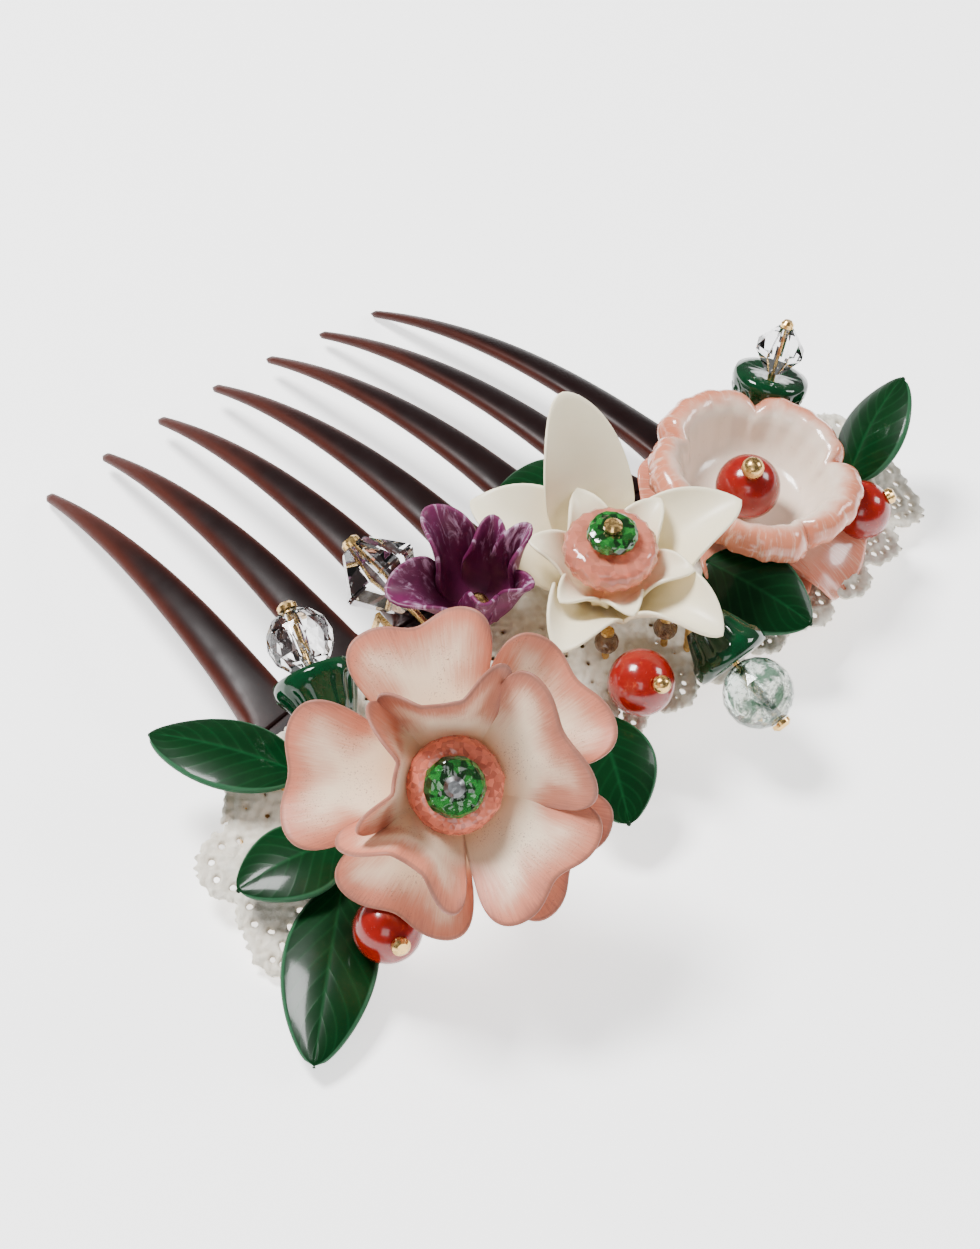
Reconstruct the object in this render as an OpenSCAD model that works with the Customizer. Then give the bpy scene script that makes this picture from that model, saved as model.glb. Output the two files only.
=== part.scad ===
/* [Comb] */
// Number of teeth
teeth = 7; // [5:1:7]
// Distance between neighbouring teeth at the spine
tooth_pitch = 11.3; // [10:0.1:12]
// Length of a tooth, along its arc
tooth_len = 55; // [45:1:60]
// Width of a tooth at the spine
tooth_root_w = 6.4; // [4:0.1:6.8]
// Width of a tooth at its tip
tooth_tip_w = 1.2; // [0.8:0.1:2]
// How much each tooth turns in towards the middle one, in degrees
tooth_splay = 2.3; // [0:0.1:3]
// Thickness of the spine
spine_t = 3.2; // [2.4:0.1:3.4]
// Depth of the spine behind the teeth
spine_depth = 14; // [10:1:16]
// Radius of the arch along a tooth
arch_r = 84; // [75:1:100]
// Radius of the bend along the spine
bend_r = 157; // [150:1:220]
// Height of the spine's tooth side over the table, at the middle tooth
web_z = 11.2; // [11:0.1:12]

/* [Base] */
// Radius of the bend of the perforated plate and the lace
deck_r = 200; // [190:5:260]
// Slope of the plate and the lace towards the front, in degrees
deck_slope = 13; // [11:1:14]
// Thickness of the perforated plate
plate_t = 0.7; // [0.5:0.1:0.8]
// Thickness of the lace
lace_t = 1; // [0.8:0.1:1]
// Diameter of the binding wire
wire_d = 0.6; // [0.4:0.1:0.6]

/* [Flowers] */
// Radius of the pink flower's outer petals
pink_r = 19; // [16:0.5:19.5]
// Radius of the cream flower's outer petals
cream_r = 17; // [14:0.5:17]
// Radius of the blush cup's rim
cup_r = 12.3; // [10:0.1:12.5]
// Height of the blush cup
cup_h = 7; // [6:0.1:9]
// Radius of the purple flower
purple_r = 7; // [6:0.5:9]
// Thickness of the petals' sheet metal and enamel
petal_t = 0.8; // [0.6:0.1:0.9]

/* [Beads] */
// Diameter of the round coral beads
coral_d = 8; // [6:0.1:8]
// Diameter of the wire of each head pin
pin_d = 0.9; // [0.6:0.1:1]
// Running clearance of a bead on its pin, on the radius
bead_clear = 0.05; // [0.02:0.01:0.1]

/* [Leaves] */
// Width of a leaf
leaf_w = 10; // [7:0.5:10]
// Thickness of a leaf
leaf_t = 1; // [0.8:0.1:1.2]

/* [Hidden] */

$fn = 64;
hole_r = pin_d / 2 + bead_clear;
comb_tilt = 4;
root_slope = 14;
web_turn = 18;
deck_y = -15;
deck_z = 9.7;
lace_z = plate_t + wire_d + 0.1;

// Places of the pieces: where each starts, how far its axis leans from
// upright, and which way it leans, counted from +X towards +Y
pink_at = [[-33, -30.6, 22.6], 44, 225];
cream_at = [[5.3, -14.5, 16.1], 8, 230];
blush_at = [[31.7, -11.5, 10.9], 8, 300];
blush_lower_at = [blush_at[0], 15, 304];
blush_bead_at = [blush_at[0], 20, 230];
purple_at = [[-7.6, -6.1, 14.7], 12, 250];
front_bead_at = [[-44.8, -33.3, 9], 70, 250];
middle_bead_at = [[-0.4, -27, 14], 50, 262];
rear_bead_at = [[43.6, -20.6, 10.2], 60, 330];
left_drop_at = [[-30.7, -0.9, 20], 64, 74];
bicone_at = [[-15.8, 2.2, 18.9], 62, 101];
rear_drop_at = [[45.8, -1.3, 17], 21, 15];
front_drop_at = [[11.3, -35.1, 11], 118, 273];

// Leaves: base, tip, roll about the length, curl of the tip
leaf_places = [
    [[-39.5, -11.5, 12.2], [-48.4, 4.6, 11.4], 2],
    [[-40.5, -20.5, 9.4], [-53.4, -17.6, 7.8], 0],
    [[-43, -23.5, 6.4], [-60.2, -39, 2.6], 0],
    [[-7, -26.5, 12.2], [-11.5, -37.5, 6.4], 0],
    [[48.2, -14.4, 7.6], [59.7, -11.1, 16], -30],
    [[19.5, -17.5, 13.8], [24.6, -30.5, 10.4], 20],
    [[17, -1.5, 15.8], [6.6, 6, 15.4], 0]];

function lerp(a, b, t) = a + (b - a) * t;
function unit(v) = v / norm(v);

// ---------------------------------------------------------------- placing

module at(p) {
    translate(p[0]) rotate([0, p[1], p[2]]) children();
}

module on_deck() {
    translate([0, deck_y, deck_z]) rotate([deck_slope, 0, 0]) children();
}

// ------------------------------------------------------------------- comb

// Distance along the arch runs from the spine (below 0) to the tips
function arch_y(s) = arch_r * (sin(root_slope) - sin(root_slope - s / arch_r * 180 / PI));
function arch_z(s) = arch_r * (cos(root_slope - s / arch_r * 180 / PI) - cos(root_slope));
function arch_a(s) = root_slope - s / arch_r * 180 / PI;
function comb_t(s) = s <= 0 ? spine_t : lerp(spine_t, 0.8, pow(s / tooth_len, 1.1));
function arch_edge(s, side) = [
    bend_r + arch_z(s) + side * cos(arch_a(s)) * comb_t(s) / 2,
    arch_y(s) - side * sin(arch_a(s)) * comb_t(s) / 2];

module arch_section() {
    n = 11;
    span = spine_depth + tooth_len;
    upper = [for (i = [0 : n]) arch_edge(span * i / n - spine_depth, 1)];
    lower = [for (i = [n : -1 : 0]) arch_edge(span * i / n - spine_depth, -1)];
    polygon(concat(upper, lower));
}

function tooth_w(u) = lerp(tooth_root_w, tooth_tip_w, pow(u, 1.1));

module tooth_outline() {
    steps = [0, 0.25, 0.5, 0.75, 1];
    right = [for (u = steps) [tooth_w(u) / 2, u * tooth_len]];
    left = [for (k = [4 : -1 : 0]) [-tooth_w(steps[k]) / 2, steps[k] * tooth_len]];
    polygon(concat([[tooth_root_w / 2, -2]], right, left, [[-tooth_root_w / 2, -2]]));
}

module comb_outline() {
    mid = (teeth - 1) / 2;
    gap_w = tooth_pitch - tooth_root_w;
    half = mid * tooth_pitch + tooth_root_w / 2 + 0.4;
    difference() {
        translate([-half, -spine_depth - 1]) square([2 * half, spine_depth + 1 + gap_w / 2]);
        for (i = [0 : teeth - 2])
            translate([(i + 0.5 - mid) * tooth_pitch, gap_w / 2]) circle(gap_w / 2);
    }
    for (i = [0 : teeth - 1])
        translate([(i - mid) * tooth_pitch, 0])
            rotate((i - mid) * tooth_splay) tooth_outline();
}

module comb() {
    color([0.2, 0.07, 0.04])
        translate([0, 0, web_z]) rotate([-comb_tilt, 0, 0]) intersection() {
            translate([0, 0, -bend_r]) rotate([-90, 0, 0]) rotate(-90 - web_turn)
                rotate_extrude(angle = 2 * web_turn, $fn = 128) arch_section();
            translate([0, 0, -40]) linear_extrude(70) comb_outline();
        }
}

// ------------------------------------------------------------------- base

// A sheet bent along the spine, from z to z + t over the deck's middle line
module bent_sheet(z, t, half) {
    translate([0, 0, -deck_r]) rotate([90, 0, 0]) translate([0, 0, -half])
        difference() {
            cylinder(r = deck_r + z + t, h = 2 * half, $fn = 256);
            translate([0, 0, -1]) cylinder(r = deck_r + z, h = 2 * half + 2, $fn = 256);
        }
}

module mounting_plate() {
    half_l = 38;
    half_w = 9;
    hole_pitch = 9;
    tie_hole_r = 0.7;
    color([0.85, 0.65, 0.3])
        on_deck() intersection() {
            bent_sheet(0, plate_t, 20);
            translate([0, 0, -20]) linear_extrude(30) difference() {
                translate([-1, 0]) union() {
                    square([2 * half_l, 2 * half_w], center = true);
                    for (side = [-1, 1]) translate([side * half_l, 0]) circle(half_w);
                }
                for (side = [-1, 1], k = [-4 : 4])
                    translate([k * hole_pitch, side * 6]) circle(1.2);
                for (x = tie_places)
                    translate([x, tie_front]) circle(tie_hole_r);
            }
        }
}

// The front edge of the lace, from its left end to its right end
function lace_front(x) = -14 + 0.035 * x + 0.0025 * x * max(0, x);

function scallop(x, y, from, to) =
    [for (a = [from : 20 : to]) [x + 4.5 * cos(a), y + 4.5 * sin(a)]];

module lace_outline() {
    front = [for (k = [0 : 13]) each scallop(8 * k - 51, lace_front(8 * k - 51) + 4.5, -150, -30)];
    right = [for (y = [1, 8]) each scallop(55, y, -50, 50)];
    left = [for (y = [4, -3]) each scallop(-48.5, y, 130, 230)];
    polygon(concat(front, right, [[52, 13], [42, 13], [36, 11], [-46, 11]], left));
}

module lace_base() {
    color([0.93, 0.91, 0.86])
        on_deck() intersection() {
            bent_sheet(lace_z, lace_t, 24);
            translate([0, 0, -20]) linear_extrude(30) lace_outline();
        }
}

// Loops of wire tie the plate to the spine. Each lies on the plate, goes down
// through a hole in it just in front of the spine, under the spine, and up
// between two teeth
tie_front = -2.4;
tie_back = 16.4;
tie_places = [for (k = [0 : teeth - 2]) (k + 1 - teeth / 2) * tooth_pitch];
function tie_depth(x) = 5 + x * x * (1 / (2 * bend_r) - 1 / (2 * deck_r));

module wire_loop(x) {
    inner_w = tie_back - tie_front - wire_d;
    inner_h = tie_depth(x) + plate_t + 0.02;
    translate([x, 0, -x * x / (2 * deck_r)]) rotate([90, 0, 90])
        linear_extrude(wire_d, center = true)
            translate([(tie_back + tie_front) / 2, (plate_t + 0.02 - tie_depth(x)) / 2])
                difference() {
                    square([inner_w + 2 * wire_d, inner_h + 2 * wire_d], center = true);
                    square([inner_w, inner_h], center = true);
                }
}

module binding_wire() {
    color([0.85, 0.65, 0.3]) on_deck() for (x = tie_places) wire_loop(x);
}

// ---------------------------------------------------------------- petals

// A whorl of petals in one sheet. path lists [radius, height] from the
// centre out, cut is how deep the rim goes in between two petals, notch how
// deep it goes in at the middle of each, and lift raises the petals that
// face the angle lift_a
function lobe(a, n) = pow(abs(cos(n * a / 2)), 0.6);
function notch_at(a, n) = pow(max(0, cos(n * a)), 8);
function path_normal(path, j) =
    let (a = path[max(0, j - 1)], b = path[min(len(path) - 1, j + 1)], d = unit(b - a))
    [-d[1], d[0]];
function whorl_point(path, j, a, side, n, cut, notch, lift, lift_a) =
    let (
        f = pow(j / (len(path) - 1), 2),
        q = path[j] + side * petal_t / 2 * path_normal(path, j),
        r = q[0] * (1 - f * (cut * (1 - lobe(a, n)) + notch * notch_at(a, n))),
        up = lift * f * pow(max(0, cos(a - lift_a)), 3))
    [r * cos(a), r * sin(a), q[1] + up];

module whorl(path, n, cut = 0.3, notch = 0, lift = 0, lift_a = 0, around = 40) {
    rows = len(path);
    pts = [for (side = [1, -1], j = [0 : rows - 1], i = [0 : around - 1])
        whorl_point(path, j, i * 360 / around, side, n, cut, notch, lift, lift_a)];
    under = rows * around;
    faces = [
        for (i = [0 : around - 1]) let (k = (i + 1) % around) each [
            for (j = [0 : rows - 2]) each [
                [j * around + i, (j + 1) * around + k, (j + 1) * around + i],
                [j * around + i, j * around + k, (j + 1) * around + k],
                [under + j * around + i, under + (j + 1) * around + i, under + (j + 1) * around + k],
                [under + j * around + i, under + (j + 1) * around + k, under + j * around + k]],
            [under - around + i, under - around + k, 2 * under - around + k],
            [under - around + i, 2 * under - around + k, 2 * under - around + i],
            [k, i, under + i],
            [k, under + i, under + k]]];
    polyhedron(pts, faces);
}

// ------------------------------------------------------- pins and crystals

module head_pin(down, up, head_r) {
    translate([0, 0, -down]) cylinder(d = pin_d, h = down + up + 0.3);
    translate([0, 0, up]) cylinder(r = head_r, h = 0.5);
    translate([0, 0, up + 0.5]) cylinder(r1 = head_r, r2 = head_r * 0.6, h = 0.4);
}

// A turned solid with a hole for its pin: half outline as [radius, height]
module turned(outline) {
    difference() {
        rotate_extrude() polygon(outline);
        translate([0, 0, -20]) cylinder(r = hole_r, h = 60);
    }
}

module round_bead(d) {
    difference() {
        sphere(d = d);
        cylinder(r = hole_r, h = d + 1, center = true);
        for (side = [-1, 1])
            translate([0, 0, side * (d / 2 + 0.75)]) cube([d, d, 2], center = true);
    }
}

module crystal_disc(r, h) {
    turned([[0, 0], [r * 0.72, 0], [r, h * 0.6], [r, h * 0.75], [r * 0.85, h], [0, h]]);
}

module cone_bead(r, h) {
    turned([[0, 0], [r * 0.9, 0], [r, -0.8], [r, -2], [r * 0.56, -h], [0, -h]]);
}

// ------------------------------------------------------------ pink flower

pink_outer = [[1.1, 0], [3.2, 0], [8, 0.6], [14, 1.8], [pink_r, 3.6]];
pink_inner = [[1.1, 1.1], [4.4, 1.1], [8, 3], [11.5, 5.2], [15, 7.4]];

module pink_outer_petals() {
    color([0.93, 0.75, 0.66]) at(pink_at) rotate(-17) whorl(pink_outer, 5, 0.32, 0.1);
}

module pink_inner_petals() {
    color([0.93, 0.77, 0.67]) at(pink_at) rotate(-13) whorl(pink_inner, 5, 0.3, 0.08);
}

module pink_coral_crystal() {
    color([0.95, 0.5, 0.42]) at(pink_at) translate([0, 0, 1.6]) crystal_disc(5.5, 4.4);
}

module pink_green_crystal() {
    color([0.15, 0.5, 0.2]) at(pink_at) translate([0, 0, 6.1]) crystal_disc(3.5, 2.6);
}

module pink_stem() {
    color([0.85, 0.65, 0.3]) at(pink_at) translate([0, 0, -14.6]) difference() {
        cylinder(r = 1.6, h = 14.1);
        translate([0, 0, -1]) cylinder(r = hole_r, h = 20);
    }
}

module pink_pin() {
    color([0.8, 0.8, 0.82]) at(pink_at) head_pin(17.5, 8.8, 1.2);
}

// ----------------------------------------------------------- cream flower

cream_outer = [[1.1, 0], [3, 0], [8, 1.6], [13, 3.6], [cream_r, 5.4]];
cream_inner = [[1.1, 1.3], [2.6, 1.4], [5, 3.8], [7, 6], [8.4, 8.2]];

module cream_outer_petals() {
    color([0.94, 0.92, 0.84]) at(cream_at) rotate(-240) whorl(cream_outer, 5, 0.42, 0, 12, 72);
}

module cream_inner_petals() {
    color([0.92, 0.89, 0.78]) at(cream_at) rotate(20) whorl(cream_inner, 5, 0.25);
}

module cream_coral_crystal() {
    color([0.95, 0.5, 0.42]) at(cream_at) translate([0, 0, 1.8])
        turned([[0, 0], [1.8, 0], [5.6, 5], [5.6, 6.6], [4.6, 7.8], [0, 7.8]]);
}

module cream_green_crystal() {
    color([0.15, 0.5, 0.2]) at(cream_at) translate([0, 0, 9.7]) crystal_disc(3.1, 2.2);
}

module cream_pin() {
    color([0.85, 0.65, 0.3]) at(cream_at) head_pin(2, 12, 1.1);
}

// -------------------------------------------------------------- blush cup

blush_lower = [[1.3, 0], [4, 0], [7, 0.4], [9.5, 0.9], [11.4, 0.6]];
blush_wall = [[1.3, 1.3], [4.6, 1.5], [8.6, 3.2], [10.8, 5.2], [cup_r, cup_h]];

module blush_lower_petals() {
    color([0.93, 0.72, 0.62]) at(blush_lower_at) rotate(-1) whorl(blush_lower, 5, 0.3);
}

module blush_cup() {
    color([0.95, 0.85, 0.8]) at(blush_at) whorl(blush_wall, 5, 0.06);
}

module blush_bead() {
    color([0.75, 0.08, 0.05]) at(blush_bead_at) translate([0, 0, 6.2]) round_bead(coral_d);
}

module blush_pin() {
    color([0.85, 0.65, 0.3]) at(blush_bead_at) {
        translate([0, 0, -2]) cylinder(d = pin_d, h = 12.4);
        translate([0, 0, 11.3]) sphere(d = 2.8);
    }
}

// ---------------------------------------------------------- purple flower

purple_sheet = [[1.1, 0], [2.4, 0.3], [4.5, 1.2], [6, 2.2], [purple_r, 3.4]];

module purple_petals() {
    color([0.55, 0.12, 0.38]) at(purple_at) rotate(122) whorl(purple_sheet, 5, 0.5);
}

module purple_pin() {
    color([0.85, 0.65, 0.3]) at(purple_at) head_pin(2, 0.7, 1.3);
}

// ----------------------------------------------------------------- leaves

// A pointed leaf along +X, cupped across its width
module leaf_blade(l, w) {
    cup_r = 14;
    arc_r = (l * l / 4 + w * w / 4) / w;
    translate([0, 0, -cup_r]) intersection() {
        translate([-1, 0, 0]) rotate([0, 90, 0]) difference() {
            cylinder(r = cup_r + leaf_t / 2, h = l + 2);
            translate([0, 0, -1]) cylinder(r = cup_r - leaf_t / 2, h = l + 4);
        }
        translate([l / 2, arc_r - w / 2, 0]) cylinder(r = arc_r, h = 40);
        translate([l / 2, w / 2 - arc_r, 0]) cylinder(r = arc_r, h = 40);
    }
}

module leaf(k) {
    base = leaf_places[k][0];
    run = leaf_places[k][1] - base;
    color([0.06, 0.32, 0.13])
        translate(base)
            rotate([0, -asin(run[2] / norm(run)), atan2(run[1], run[0])])
                rotate([leaf_places[k][2], 0, 0]) leaf_blade(norm(run), leaf_w);
}

module leaf_left() { leaf(0); }
module leaf_low_left() { leaf(1); }
module leaf_front() { leaf(2); }
module leaf_middle() { leaf(3); }
module leaf_rear() { leaf(4); }
module leaf_right() { leaf(5); }
module leaf_back() { leaf(6); }

// A short wire from under each leaf's base down into the lace
module leaf_wires() {
    color([0.85, 0.65, 0.3])
        for (place = leaf_places) {
            base = place[0];
            run = unit(place[1] - base);
            translate(base + run * 2 - [0, 0, 3.4]) cylinder(d = wire_d, h = 2.6);
        }
}

// ------------------------------------------------------------ coral beads

module front_red_bead() {
    color([0.7, 0.06, 0.04]) at(front_bead_at) round_bead(coral_d);
}

module middle_red_bead() {
    color([0.75, 0.1, 0.05]) at(middle_bead_at) round_bead(coral_d);
}

module rear_red_bead() {
    color([0.7, 0.06, 0.04]) at(rear_bead_at) round_bead(coral_d - 0.6);
}

module front_bead_pin() {
    color([0.85, 0.65, 0.3]) at(front_bead_at) head_pin(9, 3.95, 1.1);
}

module middle_bead_pin() {
    color([0.85, 0.65, 0.3]) at(middle_bead_at) {
        translate([0, 0, -7]) cylinder(d = pin_d, h = 11);
        translate([0, 0, 4.9]) sphere(d = 2.2);
    }
}

module rear_bead_pin() {
    color([0.85, 0.65, 0.3]) at(rear_bead_at) head_pin(8, 3.65, 1);
}

// ---------------------------------------------------------- crystal drops

module left_crystal() {
    color([0.85, 0.88, 0.9, 0.5]) at(left_drop_at) round_bead(8);
}

module left_cone() {
    color([0.05, 0.3, 0.15]) at(left_drop_at) translate([0, 0, -4.1]) cone_bead(5.2, 6.5);
}

module left_pin() {
    color([0.85, 0.65, 0.3]) at(left_drop_at) head_pin(17, 3.95, 1.2);
}

module bicone_crystal() {
    color([0.85, 0.88, 0.9, 0.5]) at(bicone_at)
        turned([[0, -5.2], [1.6, -5.2], [5.2, -0.4], [5.2, 0.4], [1.8, 4.6], [0, 4.6]]);
}

module bicone_pin() {
    color([0.85, 0.65, 0.3]) at(bicone_at) head_pin(14.5, 4.8, 1.2);
}

module rear_cone() {
    color([0.05, 0.3, 0.15]) at(rear_drop_at) translate([0, 0, 1]) cone_bead(4.8, 6);
}

module rear_crystal() {
    color([0.8, 0.88, 0.82, 0.5]) at(rear_drop_at) translate([0, 0, 4.3])
        turned([[0, -3], [1.2, -3], [3.2, -0.3], [3.2, 0.3], [1, 3], [0, 3]]);
}

module rear_pin() {
    color([0.85, 0.65, 0.3]) at(rear_drop_at) head_pin(9, 7.4, 0.8);
}

module front_crystal() {
    color([0.75, 0.82, 0.78, 0.5]) at(front_drop_at) round_bead(8.6);
}

module front_cone() {
    color([0.05, 0.35, 0.15]) at(front_drop_at) translate([0, 0, -4.4]) cone_bead(4.8, 6);
}

module front_pin() {
    leg_z = -13;
    color([0.85, 0.65, 0.3]) {
        at(front_drop_at) {
            head_pin(-leg_z, 4.25, 1.2);
            translate([0, 0, leg_z]) sphere(d = pin_d + 0.15);
        }
        translate([10.7, -23.64, 8.6]) cylinder(d = pin_d, h = 8.5);
    }
}

// ------------------------------------------------------ small amber beads

amber_places = [[1.4, -19.2, 13.4], [8.7, -21.7, 13]];

module amber_beads() {
    color([0.6, 0.35, 0.2])
        for (p = amber_places) translate(p) difference() {
            sphere(d = 3);
            cylinder(r = hole_r, h = 5, center = true);
        }
}

module amber_wire() {
    color([0.85, 0.65, 0.3])
        for (p = amber_places) translate(p) {
            translate([0, 0, -3]) cylinder(d = pin_d, h = 4.6);
            translate([0, 0, 1.5]) cylinder(r = 0.8, h = 0.4);
        }
}

comb();
mounting_plate();
lace_base();
binding_wire();
pink_outer_petals();
pink_inner_petals();
pink_coral_crystal();
pink_green_crystal();
pink_stem();
pink_pin();
cream_outer_petals();
cream_inner_petals();
cream_coral_crystal();
cream_green_crystal();
cream_pin();
blush_lower_petals();
blush_cup();
blush_bead();
blush_pin();
purple_petals();
purple_pin();
leaf_left();
leaf_low_left();
leaf_front();
leaf_middle();
leaf_rear();
leaf_right();
leaf_back();
leaf_wires();
front_red_bead();
front_bead_pin();
middle_red_bead();
middle_bead_pin();
rear_red_bead();
rear_bead_pin();
left_crystal();
left_cone();
left_pin();
bicone_crystal();
bicone_pin();
rear_crystal();
rear_cone();
rear_pin();
front_crystal();
front_cone();
front_pin();
amber_beads();
amber_wire();
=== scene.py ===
import math
import bpy
import numpy as np
from mathutils import Matrix, Vector


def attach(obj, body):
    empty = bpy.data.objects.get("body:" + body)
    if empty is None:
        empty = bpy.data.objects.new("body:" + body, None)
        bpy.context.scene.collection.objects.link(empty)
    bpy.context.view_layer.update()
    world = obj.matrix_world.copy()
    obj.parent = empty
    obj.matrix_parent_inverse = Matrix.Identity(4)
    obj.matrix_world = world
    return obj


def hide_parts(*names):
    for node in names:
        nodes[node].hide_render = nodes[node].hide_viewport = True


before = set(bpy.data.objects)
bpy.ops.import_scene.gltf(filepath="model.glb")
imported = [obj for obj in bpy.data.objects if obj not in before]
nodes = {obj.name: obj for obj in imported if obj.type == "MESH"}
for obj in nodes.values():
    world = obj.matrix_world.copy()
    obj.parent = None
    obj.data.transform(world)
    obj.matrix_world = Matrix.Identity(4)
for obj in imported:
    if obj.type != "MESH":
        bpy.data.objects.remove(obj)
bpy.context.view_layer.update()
MM = 0.001
HOLE_R = 0.52  # of the hole through each bead, in mm
ROOT = "comb_body"
rng = np.random.default_rng(7)

# Where the pieces sit: start point in mm, lean from upright in degrees, and the
# direction of the lean, counted from +X towards +Y
PINK = ((-33, -30.6, 22.6), 44, 225)
CREAM = ((5.3, -14.5, 16.1), 8, 230)
BLUSH_FOOT = (31.7, -11.5, 10.9)
BLUSH = (BLUSH_FOOT, 8, 300)
BLUSH_LOW = (BLUSH_FOOT, 15, 304)
BLUSH_BEAD = (BLUSH_FOOT, 20, 230)
PURPLE = ((-7.6, -6.1, 14.7), 12, 250)
FRONT_BEAD = ((-44.8, -33.3, 9), 70, 250)
MIDDLE_BEAD = ((-0.4, -27, 14), 50, 262)
REAR_BEAD = ((43.6, -20.6, 10.2), 60, 330)
LEFT_DROP = ((-30.7, -0.9, 20), 64, 74)
BICONE = ((-15.8, 2.2, 18.9), 62, 101)
REAR_DROP = ((45.8, -1.3, 17), 21, 15)
FRONT_DROP = ((11.3, -35.1, 11), 118, 273)


def place(p):
    """The frame of a piece whose own axis leans away from upright."""
    base, tilt, az = p
    return (Matrix.Translation(Vector(base)) @ Matrix.Rotation(math.radians(az), 4, "Z")
            @ Matrix.Rotation(math.radians(tilt), 4, "Y"))


def turn(m, deg):
    """The frame m, turned about its own axis."""
    return m @ Matrix.Rotation(math.radians(deg), 4, "Z")


def world_az(p, az):
    """The turn about a piece's own axis that points towards a plan direction."""
    m = place(p).to_3x3().inverted()
    d = m @ Vector((math.cos(math.radians(az)), math.sin(math.radians(az)), 0))
    return math.degrees(math.atan2(d.y, d.x))


def smooth(x, a, b):
    """A smooth step from 0 at a to 1 at b."""
    t = np.clip((np.asarray(x, float) - a) / (b - a), 0, 1)
    return t * t * (3 - 2 * t)


def curve_at(knots, u):
    """A smooth curve through evenly spaced knots, read at u from 0 to 1."""
    k = np.asarray(knots, float)
    n = len(k) - 1
    x = np.clip(np.asarray(u, float), 0, 1) * n
    i = np.minimum(x.astype(int), n - 1)
    t = x - i
    p0, p1, p2, p3 = k[np.maximum(i - 1, 0)], k[i], k[i + 1], k[np.minimum(i + 2, n)]
    return 0.5 * (2 * p1 + (p2 - p0) * t + (2 * p0 - 5 * p1 + 4 * p2 - p3) * t ** 2
                  + (3 * p1 - p0 - 3 * p2 + p3) * t ** 3)


# ------------------------------------------------------------ mesh helpers

class Mesh:
    """Vertices in mm, faces, and float attributes named along, across, edge and rnd."""

    def __init__(self):
        self.v, self.f, self.flat = [], [], []
        self.a = {"along": [], "across": [], "edge": [], "rnd": []}

    def add(self, pts, faces, m=None, along=0.5, across=0.0, rnd=0.0, flat=False, edge=1.0):
        """More points and faces, moved by the matrix m; flat turns off smooth shading."""
        pts = np.asarray(pts, float).reshape(-1, 3)
        if m is not None:
            r = np.array(m)
            pts = pts @ r[:3, :3].T + r[:3, 3]
        off = len(self.v)
        self.v.extend(pts.tolist())
        self.f.extend([tuple(off + i for i in f) for f in faces])
        self.flat.extend([flat] * len(faces))
        for key, val in (("along", along), ("across", across), ("edge", edge), ("rnd", rnd)):
            self.a[key].extend(np.broadcast_to(np.asarray(val, float).ravel(), (len(pts),)).tolist())

    def make(self, name, mat, body=ROOT, replaces=()):
        """The object itself, riding on its body in place of the named nodes."""
        me = bpy.data.meshes.new(name)
        me.from_pydata((np.array(self.v) * MM).tolist(), [], self.f)
        me.validate()
        for key, val in self.a.items():
            at = me.attributes.new(key, "FLOAT", "POINT")
            at.data.foreach_set("value", np.array(val, np.float32))
        me.polygons.foreach_set("use_smooth", [not f for f in self.flat])
        o = bpy.data.objects.new(name, me)
        bpy.context.scene.collection.objects.link(o)
        o.data.materials.append(mat)
        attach(o, body)
        if replaces:
            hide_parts(*replaces)
        return o


def grid_faces(n, m, wrap=False, flip=False):
    """Quads of a grid with n rows of m points, closed round each row if wrap is set."""
    out = []
    for i in range(n - 1):
        for j in range(m if wrap else m - 1):
            k = (j + 1) % m
            q = (i * m + j, i * m + k, (i + 1) * m + k, (i + 1) * m + j)
            out.append(q[::-1] if flip else q)
    return out


def normals(p, wrap=False):
    """Unit normals on a grid of points."""
    du = np.gradient(p, axis=0)
    if wrap:
        dv = np.roll(p, -1, 1) - np.roll(p, 1, 1)
    else:
        dv = np.gradient(p, axis=1)
    n = np.cross(du, dv)
    return n / (np.linalg.norm(n, axis=2, keepdims=True) + 1e-12)


def add_sheet(mesh, p, t, m, along, across, rnd, edge=None):
    """A sheet of thickness t on the grid of points p, with rounded rims."""
    n, c = p.shape[:2]
    nn = normals(p)
    top, low = p + nn * t / 2, p - nn * t / 2
    ring = ([(0, j) for j in range(c)] + [(i, c - 1) for i in range(1, n)]
            + [(n - 1, j) for j in range(c - 2, -1, -1)] + [(i, 0) for i in range(n - 2, 0, -1)])
    edge = np.ones((n, c)) if edge is None else edge
    pts = [top.reshape(-1, 3), low.reshape(-1, 3)]
    values = [[x.ravel(), x.ravel()] for x in (along, across, edge)]
    faces = grid_faces(n, c) + [tuple(n * c + i for i in f) for f in grid_faces(n, c, flip=True)]
    # the rounded rim, pushed out along the sheet
    out = np.zeros_like(p)
    out[0] -= np.gradient(p, axis=0)[0]
    out[-1] += np.gradient(p, axis=0)[-1]
    out[:, 0] -= np.gradient(p, axis=1)[:, 0]
    out[:, -1] += np.gradient(p, axis=1)[:, -1]
    out /= np.linalg.norm(out, axis=2, keepdims=True) + 1e-12
    base = 2 * n * c
    rows = []
    for k, (h, o) in enumerate(((0.6, 0.8), (0.0, 1.0), (-0.6, 0.8))):
        pts.append(np.array([p[i, j] + nn[i, j] * h * t / 2 + out[i, j] * o * t / 2 for i, j in ring]))
        for parts, x in zip(values, (along, across, edge)):
            parts.append(np.array([x[i, j] for i, j in ring]))
        rows.append([base + k * len(ring) + q for q in range(len(ring))])
    rows = [[i * c + j for i, j in ring]] + rows + [[n * c + i * c + j for i, j in ring]]
    for a, b in zip(rows[:-1], rows[1:]):
        for q in range(len(ring)):
            r = (q + 1) % len(ring)
            faces.append((a[r], a[q], b[q], b[r]))
    al, ac, ed = (np.concatenate(x) for x in values)
    mesh.add(np.vstack(pts), faces, m, al, ac, rnd, edge=ed)


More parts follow.
